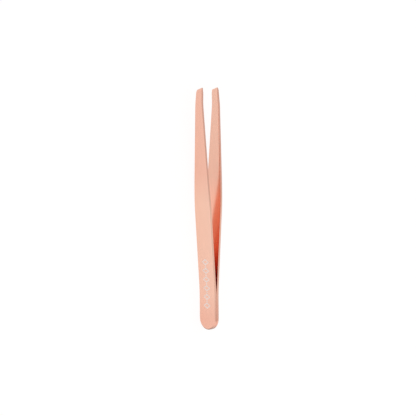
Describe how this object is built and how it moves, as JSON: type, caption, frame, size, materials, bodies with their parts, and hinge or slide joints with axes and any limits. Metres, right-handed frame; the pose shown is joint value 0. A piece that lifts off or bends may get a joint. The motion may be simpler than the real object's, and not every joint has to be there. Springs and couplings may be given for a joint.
{
  "type": "slant tweezers",
  "caption": "Rose-gold metal slant tweezers: flat springy arms, welded together at a rounded tail, that close at angled gripping tips when squeezed.",
  "frame": {"origin": "bottom centre of the whole, on the surface that the arms' long edges lie on", "axes": "+X runs along the tweezers from the tips to the tail, Y runs across the opening from the near arm (-Y) to the far arm (+Y), and +Z runs across the arms' width, upwards as they lie"},
  "size_m": [0.095, 0.0102, 0.0084],
  "materials": {
    "rose_gold": "satin",
    "weld_steel": "matte",
    "printed_mark": "satin"
  },
  "bodies": {
    "tail": {"near_arm_tail": "rose_gold", "far_arm_tail": "rose_gold", "weld_spot_rear": "weld_steel", "weld_spot_front": "weld_steel"},
    "near_arm": {"near_arm_blade": "rose_gold"},
    "far_arm": {"far_arm_blade": "rose_gold"}
  },
  "joints": [
    {"name": "near_arm_flex", "type": "hinge", "parent": "tail", "child": "near_arm", "pos_m": [0.0265, -0.00104, 0.0042], "axis": [0, 0, -1], "range_deg": [0, 3.02], "stiffness_Nm_per_rad": 2.65},
    {"name": "far_arm_flex", "type": "hinge", "parent": "tail", "child": "far_arm", "pos_m": [0.0265, 0.00104, 0.0042], "axis": [0, 0, 1], "range_deg": [0, 3.02], "stiffness_Nm_per_rad": 2.65}
  ]
}
